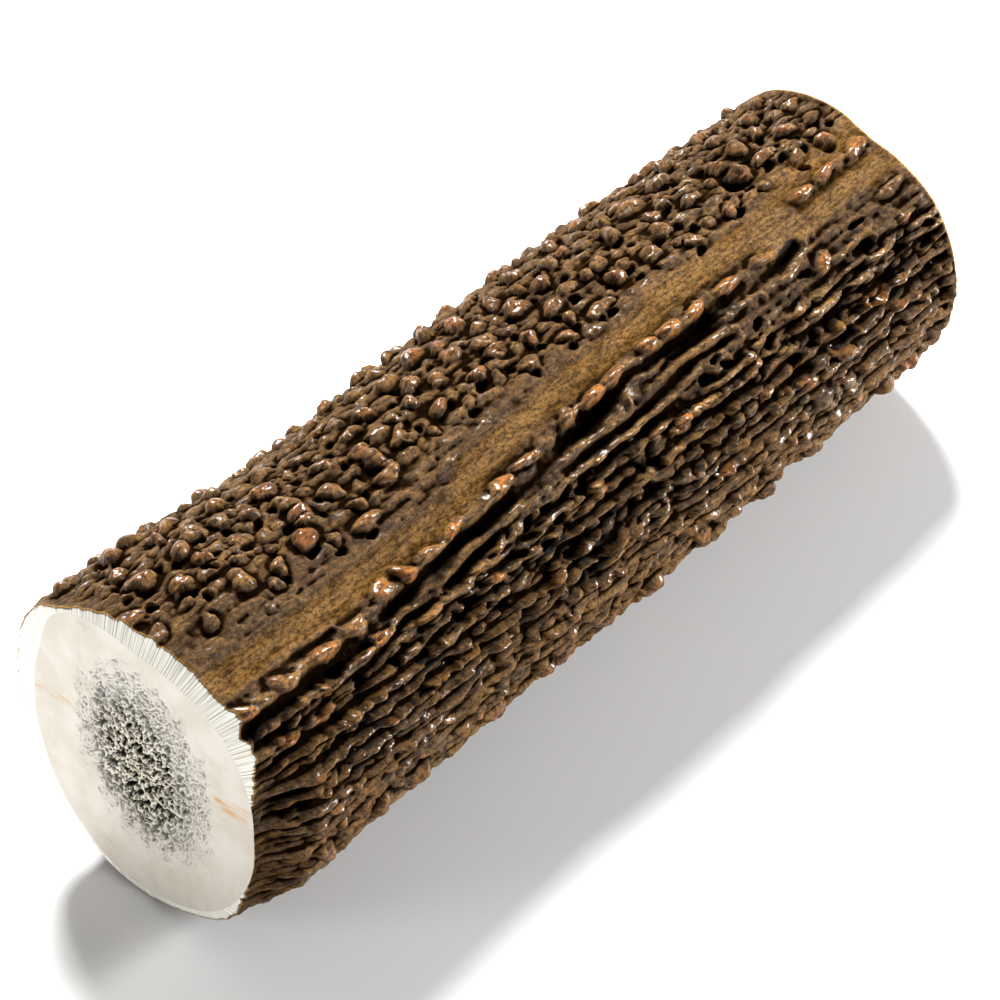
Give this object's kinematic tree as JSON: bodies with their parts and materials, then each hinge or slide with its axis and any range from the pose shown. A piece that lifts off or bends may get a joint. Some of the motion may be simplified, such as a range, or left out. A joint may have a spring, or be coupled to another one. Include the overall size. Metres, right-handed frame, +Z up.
{
  "type": "sawn red deer antler beam section",
  "caption": "Straight sawn length of antler beam with pearled and ridged brown skin, flat ivory ends with porous cores and filed bevels, lying on its side.",
  "frame": {"origin": "middle of the bottom of the bounding box, on the surface the beam lies on", "axes": "+X along the beam from the thicker sawn end to the thinner one, +Z up; the long ridges face -Y and the pearls face +Y and up"},
  "size_m": [0.12, 0.0398, 0.0437],
  "materials": {
    "antler": "satin"
  },
  "bodies": {
    "root": {"antler_beam": "antler"}
  },
  "joints": []
}
